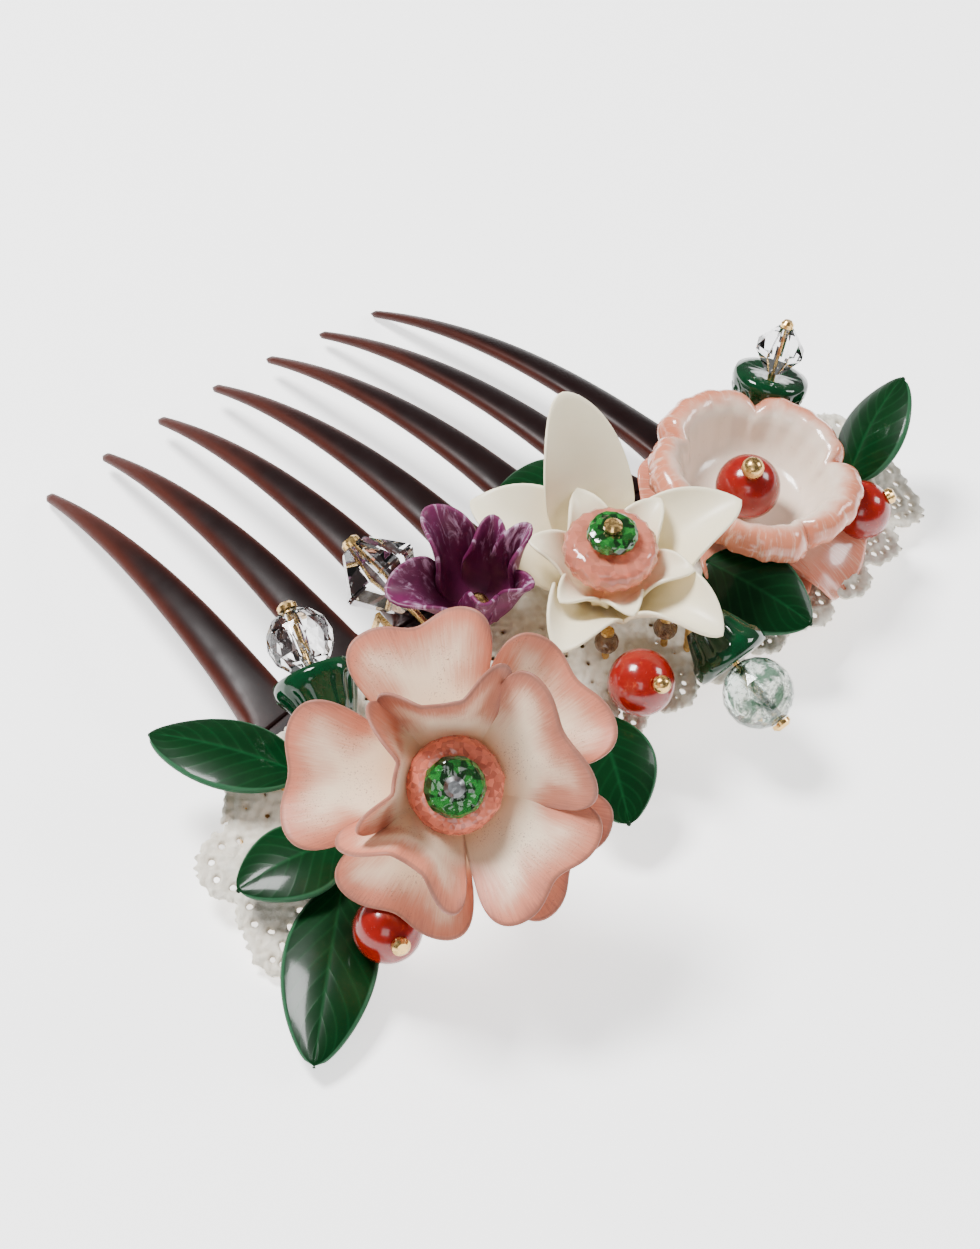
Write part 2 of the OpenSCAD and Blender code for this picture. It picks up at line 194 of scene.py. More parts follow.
def petal(reach, spread, beta, left, right, rim, notch=0.0, root=2.2, start=1.6, side=0.0, wave=0.0,
          phase=0.0, hold=0.0, nu=32, nv=45):
    """One petal along +X, made of rays that fan out from its root by the angle
    spread to each side, and that end at reach from the flower's axis.

    beta lists the slope of the middle ray in degrees, from root to rim, and left
    and right do the same for the side rays; rays nearer to the middle than hold
    keep its slopes. rim is the length of the side rays as a share of the middle
    one, the power of that fall and the power of its rounding. notch is the depth
    of the dent in the rim, side the turn of the tip, and wave the ripple of the
    rim.
    """
    length = reach - start
    u = np.linspace(0, 1, nu)[:, None]
    v = np.sin(np.linspace(-math.pi / 2, math.pi / 2, nv))[None, :]
    low, power, soft = rim
    share = low + (1 - low) * (1 - np.abs(v) ** power) ** soft - notch * np.exp(-(v / 0.3) ** 2)
    s = u * share
    fine = np.linspace(0, 1, 161)
    k_mid, k_left, k_right = (np.radians(curve_at(b, fine)) for b in (beta, left, right))
    w = smooth(np.abs(v), hold, 1.0)
    r, z = np.zeros_like(s), np.zeros_like(s)
    slope = np.zeros_like(s)
    for j in range(nv):
        ang = k_mid + w[0, j] * ((k_left if v[0, j] > 0 else k_right) - k_mid)
        rr = np.concatenate([[0], np.cumsum((np.cos(ang[1:]) + np.cos(ang[:-1])) / 2)]) * length / 160
        zz = np.concatenate([[0], np.cumsum((np.sin(ang[1:]) + np.sin(ang[:-1])) / 2)]) * length / 160
        r[:, j] = np.interp(s[:, j], fine, rr)
        z[:, j] = np.interp(s[:, j], fine, zz)
        slope[:, j] = np.interp(s[:, j], fine, ang)
    out = wave * np.sin(2 * math.pi * v + phase) * s ** 3
    r = r - out * np.sin(slope)
    z = z + out * np.cos(slope)
    a = np.radians(spread) * v + np.radians(side) * s ** 2
    x = start + r * np.cos(a)
    y = root * v + r * np.sin(a)
    # how far each point lies from the rim, on the flat petal
    flat_a = np.radians(spread) * v
    fx, fy = length * s * np.cos(flat_a), root * v + length * s * np.sin(flat_a)
    bx = np.concatenate([fx[-1], fx[nu // 4:, 0], fx[nu // 4:, -1]])
    by = np.concatenate([fy[-1], fy[nu // 4:, 0], fy[nu // 4:, -1]])
    gap = np.sqrt((fx[..., None] - bx) ** 2 + (fy[..., None] - by) ** 2).min(axis=2)
    return np.stack([x, y, z], axis=2), s, v * np.ones_like(s), gap / 10


def add_petal(mesh, m, az, t=0.45, lift=0.0, rnd=None, **kw):
    """A petal of thickness t on the flower's frame m, turned to az."""
    p, s, v, gap = petal(**kw)
    add_sheet(mesh, p, t, turn(m @ Matrix.Translation((0, 0, lift)), az), along=s, across=v,
              rnd=0.85 * rng.random() if rnd is None else rnd, edge=gap)


def add_revolved(mesh, outline, m, n=48, flat=False, flutes=0, depth=0.0, below=1e9, shift=0.0):
    """A turned shape from [radius, height] points, closed into a loop.

    Flutes of the given depth run round it below a height, and shift turns every
    second ring by part of a facet.
    """
    o = np.asarray(outline, float)
    k = len(o)
    pts, al = [], []
    for i in range(k):
        a = (np.arange(n) + shift * (i % 2)) * 2 * math.pi / n
        r = o[i, 0] * (1 + (depth * np.cos(flutes * a) if flutes and o[i, 1] < below else 0))
        pts.append(np.stack([r * np.cos(a), r * np.sin(a), np.full(n, o[i, 1])], 1))
        al.append(np.full(n, i / (k - 1)))
    faces = []
    for i in range(k):
        i2 = (i + 1) % k
        for j in range(n):
            j2 = (j + 1) % n
            if shift and i2 == i + 1:
                a, b, c, d = i * n + j, i * n + j2, i2 * n + j2, i2 * n + j
                if i % 2 == 0:
                    faces += [(a, b, d), (b, c, d)]
                else:
                    faces += [(a, c, d), (a, b, c)]
            else:
                faces.append((i * n + j, i * n + j2, i2 * n + j2, i2 * n + j))
    mesh.add(np.vstack(pts), faces, m, np.concatenate(al), flat=flat)


# --------------------------------------------------------------- materials

def material(name, color, rough=0.4, metallic=0.0, coat=0.0, coat_rough=0.05, trans=0.0, ior=1.5,
             sss=0.0, spec=0.5, sheen=0.0):
    """A new material with its node tree and its main shader."""
    m = bpy.data.materials.new(name)
    m.use_nodes = True
    nt = m.node_tree
    b = nt.nodes["Principled BSDF"]
    b.inputs["Base Color"].default_value = (*color, 1)
    b.inputs["Roughness"].default_value = rough
    b.inputs["Metallic"].default_value = metallic
    b.inputs["Coat Weight"].default_value = coat
    b.inputs["Coat Roughness"].default_value = coat_rough
    b.inputs["Transmission Weight"].default_value = trans
    b.inputs["IOR"].default_value = ior
    b.inputs["Subsurface Weight"].default_value = sss
    b.inputs["Subsurface Radius"].default_value = (1, 0.5, 0.3)
    b.inputs["Subsurface Scale"].default_value = 0.002
    b.inputs["Specular IOR Level"].default_value = spec
    b.inputs["Sheen Weight"].default_value = sheen
    return m, nt, b


def node(nt, kind, **kw):
    n = nt.nodes.new(kind)
    for k, v in kw.items():
        setattr(n, k, v)
    return n


def link(nt, a, b):
    nt.links.new(a, b)


def attr(nt, name):
    """One of the mesh attributes along, across, edge and rnd."""
    return node(nt, "ShaderNodeAttribute", attribute_name=name).outputs["Fac"]


def math_(nt, op, a, b=None):
    n = node(nt, "ShaderNodeMath", operation=op)
    for i, x in enumerate((a, b)):
        if x is None:
            continue
        if isinstance(x, (int, float)):
            n.inputs[i].default_value = x
        else:
            link(nt, x, n.inputs[i])
    return n.outputs[0]


def remap(nt, x, a, b, c=0.0, d=1.0):
    """A smooth step of x, from c at a to d at b."""
    n = node(nt, "ShaderNodeMapRange", interpolation_type="SMOOTHSTEP")
    link(nt, x, n.inputs["Value"])
    n.inputs["From Min"].default_value = a
    n.inputs["From Max"].default_value = b
    n.inputs["To Min"].default_value = c
    n.inputs["To Max"].default_value = d
    return n.outputs[0]


def mix(nt, fac, a, b):
    """The colour between a and b, at fac."""
    n = node(nt, "ShaderNodeMix", data_type="RGBA")
    for sock, x in ((n.inputs[0], fac), (n.inputs[6], a), (n.inputs[7], b)):
        if isinstance(x, (int, float)):
            sock.default_value = x
        elif isinstance(x, tuple):
            sock.default_value = (*x, 1)
        else:
            link(nt, x, sock)
    return n.outputs[2]


def noise(nt, scale, detail=3.0, rough=0.55, vec=None, dist=0.0):
    """Cloudy noise in the object's own space, or along vec."""
    n = node(nt, "ShaderNodeTexNoise")
    n.inputs["Scale"].default_value = scale
    n.inputs["Detail"].default_value = detail
    n.inputs["Roughness"].default_value = rough
    n.inputs["Distortion"].default_value = dist
    if vec is None:
        vec = node(nt, "ShaderNodeTexCoord").outputs["Object"]
    link(nt, vec, n.inputs["Vector"])
    return n.outputs["Fac"]


def streak_vec(nt, across_k, along_k):
    """Noise coordinates that follow a petal, so that the noise runs out as streaks."""
    c = node(nt, "ShaderNodeCombineXYZ")
    link(nt, math_(nt, "MULTIPLY", attr(nt, "across"), across_k), c.inputs[0])
    link(nt, math_(nt, "MULTIPLY", attr(nt, "along"), along_k), c.inputs[1])
    link(nt, math_(nt, "MULTIPLY", attr(nt, "rnd"), 40.0), c.inputs[2])
    return c.outputs[0]


def jitter(nt, x, cloud, amount):
    """x, moved up and down by a noise around one half."""
    off = math_(nt, "MULTIPLY", math_(nt, "SUBTRACT", cloud, 0.5), amount)
    return math_(nt, "ADD", x, off)


def shade(color, k):
    """A colour, made lighter or darker by the factor k."""
    return tuple(min(1, c * k) for c in color)


def bump(nt, b, height, strength=0.2, dist=0.0002):
    n = node(nt, "ShaderNodeBump")
    n.inputs["Strength"].default_value = strength
    n.inputs["Distance"].default_value = dist
    link(nt, height, n.inputs["Height"])
    link(nt, n.outputs[0], b.inputs["Normal"])


def mat_gold(name="gilt", color=(0.78, 0.50, 0.19), rough=0.22, dents=0.12):
    """Plated metal, a little uneven in tone and surface."""
    m, nt, b = material(name, color, rough, metallic=1.0)
    n = noise(nt, 900)
    link(nt, mix(nt, n, shade(color, 0.72), shade(color, 1.12)), b.inputs["Base Color"])
    link(nt, remap(nt, noise(nt, 2500), 0.3, 0.7, rough * 0.8, rough * 1.6), b.inputs["Roughness"])
    bump(nt, b, noise(nt, 1600, 4), dents, 0.0001)
    return m


def mat_tortoise():
    """Near-black moulded plastic, with red-brown painted towards thin edges and tips for light shining
    through them.
    """
    m, nt, b = material("tortoiseshell", (0.03, 0.01, 0.007), 0.36, coat=0.0, spec=0.13)
    # painted light: red-brown where light would shine through the thin plastic, most on the first tooth
    edge = math_(nt, "ADD", attr(nt, "along"), math_(nt, "MULTIPLY", attr(nt, "rnd"), -0.25))
    lit_through = jitter(nt, edge, noise(nt, 160, 3, 0.5), 0.35)
    near_black, red_brown = (0.008, 0.003, 0.003), (0.062, 0.014, 0.009)
    c = mix(nt, remap(nt, lit_through, 0.25, 1.15), near_black, red_brown)
    link(nt, c, b.inputs["Base Color"])
    link(nt, remap(nt, noise(nt, 300, 3), 0.3, 0.75, 0.36, 0.46), b.inputs["Roughness"])
    bump(nt, b, noise(nt, 120, 2), 0.04, 0.0003)
    return m


def mat_lace():
    """Knotted cotton thread, darker round the holes."""
    m, nt, b = material("guipure_lace", (0.82, 0.77, 0.66), 0.9, sheen=0.2, spec=0.2)
    knot = node(nt, "ShaderNodeTexVoronoi", feature="SMOOTH_F1")
    knot.inputs["Scale"].default_value = 1100
    knot.inputs["Randomness"].default_value = 0.7
    link(nt, node(nt, "ShaderNodeTexCoord").outputs["Object"], knot.inputs["Vector"])
    thread = noise(nt, 2600, 4, 0.7, dist=1.5)
    ecru, cream = (0.86, 0.79, 0.64), (0.95, 0.91, 0.82)
    gap_shade, hole_shade = (0.5, 0.4, 0.26), (0.42, 0.30, 0.18)
    c = mix(nt, noise(nt, 300, 4), ecru, cream)
    c = mix(nt, remap(nt, knot.outputs["Distance"], 0.3, 0.7, 0.0, 0.3), c, gap_shade)
    c = mix(nt, remap(nt, attr(nt, "along"), 0.0, 1.0, 0.0, 0.4), c, hole_shade)
    link(nt, c, b.inputs["Base Color"])
    h = math_(nt, "SUBTRACT", math_(nt, "MULTIPLY", thread, 0.8), knot.outputs["Distance"])
    bump(nt, b, h, 0.8, 0.0003)
    return m


def mat_pink():
    """Matt ivory enamel, airbrushed from the rim inwards and speckled."""
    m, nt, b = material("pink_enamel", (0.87, 0.72, 0.6), 0.5, coat=0.05, coat_rough=0.3, spec=0.3, sss=0.02)
    edge = attr(nt, "edge")
    soft = noise(nt, 1.0, 2, vec=streak_vec(nt, 1.6, 2.0))
    streak = noise(nt, 1.0, 4, 0.7, vec=streak_vec(nt, 42, 5.0))
    near = jitter(nt, jitter(nt, edge, soft, -0.6), streak, -0.32)
    near = math_(nt, "ADD", near, remap(nt, attr(nt, "along"), 0.25, 0.62, 0.6, 0.0))
    honey, ivory, coral = (0.80, 0.49, 0.25), (0.93, 0.75, 0.54), (0.58, 0.195, 0.115)
    brick, brown, fleck, line = (0.30, 0.10, 0.07), (0.25, 0.11, 0.08), (0.30, 0.13, 0.09), (0.24, 0.10, 0.07)
    c = mix(nt, remap(nt, attr(nt, "along"), 0.1, 0.5), honey, ivory)
    c = mix(nt, remap(nt, near, 0.06, 0.6, 1.0, 0.0), c, coral)
    c = mix(nt, remap(nt, near, -0.1, 0.1, 0.8, 0.0), c, brick)
    # only petals with rnd at 1 have browned rims, partly the enamel's own brown and partly painted shade
    # inside the cup
    brown_and_shade = remap(nt, near, -0.15, 0.42, 0.6, 0.0)
    brown_and_shade = math_(nt, "MULTIPLY", remap(nt, attr(nt, "rnd"), 0.9, 1.0), brown_and_shade)
    c = mix(nt, brown_and_shade, c, brown)
    speck = noise(nt, 5200, 2, 0.6)
    where = remap(nt, noise(nt, 260, 3), 0.45, 0.65, 0.1, 1.0)
    speck = math_(nt, "MULTIPLY", remap(nt, speck, 0.59, 0.67, 0.0, 0.75), where)
    c = mix(nt, speck, c, fleck)
    c = mix(nt, remap(nt, edge, 0.0, 0.035, 0.6, 0.0), c, line)
    link(nt, c, b.inputs["Base Color"])
    link(nt, remap(nt, streak, 0.3, 0.7, 0.42, 0.58), b.inputs["Roughness"])
    bump(nt, b, streak, 0.14, 0.0002)
    return m


def mat_cream():
    """Matt cream enamel, yellower at the root."""
    m, nt, b = material("cream_enamel", (0.86, 0.83, 0.7), 0.4, coat=0.15, coat_rough=0.25, spec=0.35,
                        sss=0.03)
    soft = noise(nt, 240, 3)
    cream, pale, olive, grey = (0.90, 0.79, 0.54), (0.95, 0.87, 0.66), (0.55, 0.43, 0.2), (0.45, 0.36, 0.22)
    c = mix(nt, soft, cream, pale)
    low = jitter(nt, attr(nt, "along"), noise(nt, 500, 3), 0.3)
    c = mix(nt, remap(nt, low, 0.05, 0.55, 0.75, 0.0), c, olive)
    speck = noise(nt, 1.0, 5, 0.8, vec=streak_vec(nt, 50, 20))
    c = mix(nt, remap(nt, speck, 0.68, 0.78, 0.0, 0.3), c, grey)
    link(nt, c, b.inputs["Base Color"])
    bump(nt, b, noise(nt, 700, 4), 0.12, 0.0002)
    return m


def mat_blush(name, low, high, color_in, color_rim):
    """Glossy glaze that turns to color_rim between low and high."""
    m, nt, b = material(name, color_in, 0.2, coat=0.5, coat_rough=0.08, sss=0.04, spec=0.4)
    edge = jitter(nt, attr(nt, "along"), noise(nt, 330, 3), 0.22)
    c = mix(nt, noise(nt, 260, 2), shade(color_in, 0.96), shade(color_in, 1.03))
    c = mix(nt, remap(nt, edge, low, high), c, color_rim)
    streak = noise(nt, 1.0, 4, 0.7, vec=streak_vec(nt, 60, 4))
    # painted highlight: paler streaks over the rim colour stand in for the glaze's pearly sheen
    painted_sheen = math_(nt, "MULTIPLY", remap(nt, streak, 0.5, 0.7, 0.0, 0.5), remap(nt, edge, low, high))
    c = mix(nt, painted_sheen, c, color_in)
    c = mix(nt, remap(nt, noise(nt, 900, 4), 0.6, 0.8, 0.0, 0.25), c, shade(color_rim, 0.7))
    link(nt, c, b.inputs["Base Color"])
    bump(nt, b, math_(nt, "ADD", streak, noise(nt, 300, 2)), 0.1, 0.0003)
    return m


def mat_purple():
    """Purple enamel with a pale marbled rim."""
    m, nt, b = material("purple_enamel", (0.2, 0.03, 0.12), 0.5, coat=0.15, coat_rough=0.3, spec=0.4)
    rim = jitter(nt, attr(nt, "along"), noise(nt, 420, 3), 0.7)
    plum, magenta, lilac = (0.06, 0.004, 0.03), (0.17, 0.012, 0.085), (0.62, 0.40, 0.58)
    c = mix(nt, noise(nt, 500, 4), plum, magenta)
    marble = noise(nt, 1.0, 5, 0.7, vec=streak_vec(nt, 4.5, 3), dist=1.0)
    pale = math_(nt, "MULTIPLY", remap(nt, marble, 0.5, 0.7), remap(nt, rim, 0.3, 0.85))
    c = mix(nt, pale, c, lilac)
    link(nt, c, b.inputs["Base Color"])
    bump(nt, b, marble, 0.2, 0.0002)
    return m


def mat_leaf():
    """Glossy dark green enamel over a midrib and slanting veins."""
    m, nt, b = material("green_enamel", (0.004, 0.06, 0.015), 0.32, coat=0.16, coat_rough=0.1, spec=0.07)
    mid = math_(nt, "ABSOLUTE", attr(nt, "across"))
    slant = math_(nt, "MULTIPLY", attr(nt, "along"), 8.0)
    slant = math_(nt, "SUBTRACT", slant, math_(nt, "MULTIPLY", mid, 2.6))
    vein = math_(nt, "SINE", math_(nt, "MULTIPLY", slant, math.pi))
    vein = math_(nt, "POWER", math_(nt, "ABSOLUTE", vein), 0.3)
    deep, green = (0.0006, 0.012, 0.003), (0.002, 0.030, 0.007)
    vein_green, rib_green, rim_highlight_green = (0.006, 0.065, 0.018), (0.008, 0.08, 0.024), (0.05, 0.16, 0.08)
    c = mix(nt, noise(nt, 260, 3), deep, green)
    c = mix(nt, remap(nt, vein, 0.5, 0.9, 0.2, 0.0), c, vein_green)
    c = mix(nt, remap(nt, mid, 0.0, 0.09, 0.35, 0.0), c, rib_green)
    # painted highlight: a lighter green along the leaf's rim
    c = mix(nt, remap(nt, mid, 0.94, 1.0, 0.0, 0.5), c, rim_highlight_green)
    link(nt, c, b.inputs["Base Color"])
    h = math_(nt, "ADD", math_(nt, "MULTIPLY", vein, 0.35), noise(nt, 240, 2))
    bump(nt, b, h, 0.12, 0.0005)
    return m


def mat_coral():
    """Polished red coral with clouds and lighter streaks."""
    m, nt, b = material("coral_bead", (0.55, 0.035, 0.015), 0.24, coat=0.4, coat_rough=0.06, sss=0.02,
                        spec=0.4)
    w = noise(nt, 380, 5, 0.65, dist=1.6)
    dark_red, red, orange = (0.15, 0.003, 0.002), (0.34, 0.008, 0.004), (0.52, 0.045, 0.009)
    c = mix(nt, w, dark_red, red)
    c = mix(nt, remap(nt, noise(nt, 620, 5, 0.7, dist=2.2), 0.58, 0.72, 0.0, 0.6), c, orange)
    link(nt, c, b.inputs["Base Color"])
    link(nt, remap(nt, noise(nt, 1200, 3), 0.3, 0.8, 0.14, 0.3), b.inputs["Roughness"])
    bump(nt, b, noise(nt, 500, 3), 0.06, 0.0002)
    return m


def mat_glass(name, color, trans=1.0, rough=0.02, ior=1.5, dark=0.85, facet=0.0):
    """Glass, cloudy or, with facet set, cut in many small faces, each painted lighter or darker for the
    glints and shade a cut stone catches.
    """
    m, nt, b = material(name, color, rough, trans=trans, ior=ior)
    n = noise(nt, 500, 3)
    if facet:
        cell = node(nt, "ShaderNodeTexVoronoi", feature="F1")
        cell.inputs["Scale"].default_value = facet
        link(nt, node(nt, "ShaderNodeTexCoord").outputs["Object"], cell.inputs["Vector"])
        # painted light: each facet gets its own lighter or darker tone, for glints and shade
        facet_glint = node(nt, "ShaderNodeSeparateColor")
        link(nt, cell.outputs["Color"], facet_glint.inputs[0])
        n = remap(nt, facet_glint.outputs[0], 0.15, 0.85)
        bump(nt, b, cell.outputs["Distance"], 0.3, 0.0003)
    link(nt, mix(nt, n, shade(color, dark), shade(color, 1.06)), b.inputs["Base Color"])
    link(nt, remap(nt, noise(nt, 1500, 2), 0.3, 0.8, rough * 0.5, rough * 1.8 + 0.01), b.inputs["Roughness"])
    return m


def mat_mottled():
    """Clear glass with dark green mottling."""
    m, nt, b = material("mottled_crystal", (0.6, 0.7, 0.62), 0.06, trans=0.8, ior=1.5)
    spot = noise(nt, 420, 5, 0.7, dist=1.0)
    clear, moss = (0.82, 0.9, 0.85), (0.04, 0.10, 0.06)
    c = mix(nt, remap(nt, spot, 0.42, 0.6), clear, moss)
    link(nt, c, b.inputs["Base Color"])
    link(nt, remap(nt, spot, 0.4, 0.6, 0.95, 0.55), b.inputs["Transmission Weight"])
    return m


GOLD = mat_gold()
GOLD_DULL = mat_gold("gilt_plate", (0.66, 0.44, 0.2), 0.34)
SILVER = mat_gold("silver", (0.15, 0.155, 0.16), 0.3, 0.02)
TORTOISE = mat_tortoise()
LACE = mat_lace()
PINK_M = mat_pink()
CREAM_M = mat_cream()
CUP_M = mat_blush("blush_cup", 0.56, 0.76, color_in=(0.84, 0.68, 0.55), color_rim=(0.60, 0.20, 0.11))
LOW_M = mat_blush("blush_petal", 0.25, 0.8, color_in=(0.84, 0.64, 0.48), color_rim=(0.62, 0.20, 0.12))
PURPLE_M = mat_purple()
LEAF_M = mat_leaf()
CORAL_M = mat_coral()
CLEAR_M = mat_glass("clear_crystal", (0.97, 0.98, 1.0), rough=0.01, ior=1.56)
CORAL_CUT_M = mat_glass("coral_cut_crystal", (1.0, 0.25, 0.16), trans=0.15, rough=0.08, dark=0.62, facet=1500)
CORAL_STONE_M = mat_glass("coral_crystal", (0.93, 0.34, 0.23), trans=0.6, rough=0.03, dark=0.78, facet=1000)
GREEN_M = mat_glass("green_crystal", (0.035, 0.34, 0.05), trans=0.6, rough=0.01, ior=1.65, dark=0.12,
                    facet=1300)
BOTTLE_M = mat_glass("green_glass", (0.001, 0.045, 0.013), trans=0.04, rough=0.08, ior=1.45, dark=0.3)
AMBER_M = mat_glass("amber_glass", (0.4, 0.25, 0.15), trans=0.75, rough=0.03, dark=0.7)
MOTTLED_M = mat_mottled()

# The pins, wires and plate keep their solids
METALS = {"pink_pin": SILVER, "mounting_plate": GOLD_DULL, "leaf_wires": GOLD, "pink_stem": GOLD}
for name, o in nodes.items():
    if name in METALS or name.endswith(("_pin", "_wire")):
        o.data.materials.clear()
        o.data.materials.append(METALS.get(name, GOLD))

# -------------------------------------------------------------------- comb

# Sizes in mm and angles in degrees; RING is the number of points round a section
TEETH, PITCH, SPLAY = 7, 11.3, 2.3
TOOTH_LEN, ROOT_W, TIP_W, TIP_T = 55.0, 6.4, 1.2, 0.9
SPINE_T, SPINE_DEPTH = 3.2, 14.0
ARCH_R, BEND_R, SLOPE, TILT, WEB_Z = 84.0, 157.0, 14.0, 4.0, 11.2
RING = 28


def comb_point(x, s, h):
    """Object point at x along the spine, s along the arch, h off the middle surface."""
    slope = math.radians(SLOPE)
    a = slope - s / ARCH_R
    y = ARCH_R * (math.sin(slope) - np.sin(a)) - h * np.sin(a)
    r = BEND_R + ARCH_R * (np.cos(a) - math.cos(slope)) + h * np.cos(a)
    z = np.sqrt(np.maximum(r * r - x * x, 1)) - BEND_R
    t = math.radians(-TILT)
    return np.stack([x * np.ones_like(y), y * math.cos(t) - z * math.sin(t),
                     y * math.sin(t) + z * math.cos(t) + WEB_Z], -1)


def squared(power):
    """One turn round a section: power 1 is a circle, and lower powers are squarer."""
    a = np.arange(RING) * 2 * math.pi / RING
    ca, sa = np.cos(a), np.sin(a)
    return np.sign(ca) * np.abs(ca) ** power, np.sign(sa) * np.abs(sa) ** power


def rod_faces(n, flip=False):
    """Faces of a closed rod of n sections, with its two ends."""
    step = -1 if flip else 1
    ends = [tuple(range(RING))[::-step], tuple(range((n - 1) * RING, n * RING))[::step]]
    return grid_faces(n, RING, wrap=True, flip=flip) + ends


def add_tooth(mesh, i):
    """A tooth: it leaves the spine in a round fillet and tapers to a rounded tip."""
    k = i - (TEETH - 1) / 2
    gap = (PITCH - ROOT_W) / 2
    length = TOOTH_LEN - 0.5 + 0.2 * k
    s = np.concatenate([np.linspace(-0.6, gap, 10), np.linspace(gap, length, 60)[1:]])
    pts, lit_through = [], []
    for q in s:
        out = max(0.0, q)
        u = out / length
        w = ROOT_W + (TIP_W - ROOT_W) * u ** 1.15
        if q < gap:
            w = PITCH - 2 * math.sqrt(max(0, gap ** 2 - (gap - out) ** 2)) - 0.02
        t = SPINE_T + (TIP_T - SPINE_T) * u ** 1.1
        end = 1 - smooth(q, length - 0.9, length + 0.15) * 0.75
        cx, cy = squared(0.45 + 0.45 * smooth(q, 0, 12))
        x0 = k * PITCH - out * math.sin(math.radians(k * SPLAY))
        pts.append(comb_point(x0 + cx * w * end / 2, np.full(RING, q), cy * t * end / 2))
        # painted light: the thin sides and the tip are marked for red-brown light shining through
        lit_through.append(np.clip(np.abs(cx) ** 2.2 * 0.9 + 0.8 * smooth(u, 0.35, 1.0) + 0.22, 0, 1))
    mesh.add(np.vstack(pts), rod_faces(len(s), flip=True), None, np.concatenate(lit_through), rnd=i / TEETH)


def add_spine(mesh):
    """The spine, a rounded band bent along its length and thinner at its ends."""
    half = (TEETH - 1) / 2 * PITCH + ROOT_W / 2 + 0.4
    xs = np.concatenate([[-half, -half + 0.3], np.linspace(-half + 1.2, half - 1.2, 60), [half - 0.3, half]])
    cx, cy = squared(0.42)
    middle, reach = 0.1 - SPINE_DEPTH / 2, 0.1 + SPINE_DEPTH / 2
    pts = []
    for x in xs:
        end = min(1.0, 0.72 + (half - abs(x)) * 0.25)
        s = middle + cx * reach * (0.94 + 0.06 * end)
        pts.append(comb_point(np.full(RING, x), s, cy * SPINE_T / 2 * end))
    # painted light: the thin ends of each section are marked for red-brown light shining through
    lit_through = np.tile(np.clip(np.abs(cx) ** 4 * 0.7 + 0.2, 0, 1), len(xs))
    mesh.add(np.vstack(pts), rod_faces(len(xs)), None, lit_through, rnd=0.9)


comb = Mesh()
for tooth in range(TEETH):
    add_tooth(comb, tooth)
add_spine(comb)
comb.make("tortoiseshell_comb", TORTOISE, replaces=("comb",))

# -------------------------------------------------------------------- lace

# The lace lies on a plate, the deck, that is bent along its length and slopes to
# the front. LACE_Z is how high the lace's underside lies over it, and the flat
# lace keeps inside LACE_X and LACE_Y, all in mm
DECK_R, DECK_SLOPE, DECK_Y, DECK_Z = 200.0, 13.0, -15.0, 9.7
LACE_Z, LACE_T, LACE_CELL = 1.4, 1.0, 0.3
LACE_X, LACE_Y = (-56, 60.6), (-16, 14.2)
SCALLOPS, SCALLOP_PITCH, SCALLOP_START, SCALLOP_R = 14, 8.0, -51, 4.5
END_SCALLOPS = ((54, 0), (54, 7), (-50, 1), (-50, -6), (-50, -12))


def deck(x, y, h):
    """Object point over the bent deck."""
    r = DECK_R + h
    z = np.sqrt(r * r - x * x) - DECK_R
    t = math.radians(DECK_SLOPE)
    return np.stack([x, DECK_Y + y * math.cos(t) - z * math.sin(t),
                     DECK_Z + y * math.sin(t) + z * math.cos(t)], -1)


def lace_front(x):
    """The front edge of the flat lace."""
    return -14.5 + 0.042 * np.maximum(0, x - 30) ** 1.6


def front_scallops():
    """Centres of the scallops along the front edge."""
    for k in range(SCALLOPS):
        x = SCALLOP_PITCH * k + SCALLOP_START
        yield x, lace_front(x) + SCALLOP_R


def lace_inside(x, y):
    """How far each point lies inside the outline, which is ragged with threads."""
    d = np.full(x.shape, -1e3)
    for cx, cy in (*front_scallops(), *END_SCALLOPS):
        d = np.maximum(d, SCALLOP_R - np.hypot(x - cx, y - cy))
    rear = np.interp(x, [-60, -50, -44, 36, 42, 52, 60], [3, 4, 11, 11, 13, 11, 4])
    band = np.minimum(np.minimum(rear - y, y - (lace_front(x) + 2.0)), np.minimum(x + 53, 57 - x))
    ragged = 0.35 * np.sin(x * 2.3 + 1.3 * np.sin(y * 1.7)) * np.sin(y * 2.9 + x)
    return np.maximum(d, band) + ragged + 0.08 * np.sin(x * 7.1 + y * 5.3)


def lace_holes(x, y):
    """How far each point lies outside the nearest hole."""
    gap = np.full(x.shape, 1e3)
    for cx, cy in front_scallops():
        for r, n in ((2.9, 7), (1.3, 4)):
            for j in range(n):
                a = math.pi * (j + 0.5) / n + math.pi
                hx, hy = cx + r * math.cos(a), cy + r * math.sin(a)
                gap = np.minimum(gap, np.hypot(x - hx, y - hy) - rng.uniform(0.2, 0.45))
    for column in np.arange(-48, 56, 2.6):
        for j in range(8):
            hx = column + 1.3 * (j % 2) + rng.uniform(-0.4, 0.4)
            hy = lace_front(column) + 6.5 + 2.3 * j
            gap = np.minimum(gap, np.hypot(x - hx, (y - hy) * 1.2) - rng.uniform(0.1, 0.45))
    for cx, cy in END_SCALLOPS:
        for a in np.arange(8) * math.pi / 4:
            gap = np.minimum(gap, np.hypot(x - cx - 2.8 * math.cos(a), y - cy - 2.8 * math.sin(a)) - 0.42)
    return gap


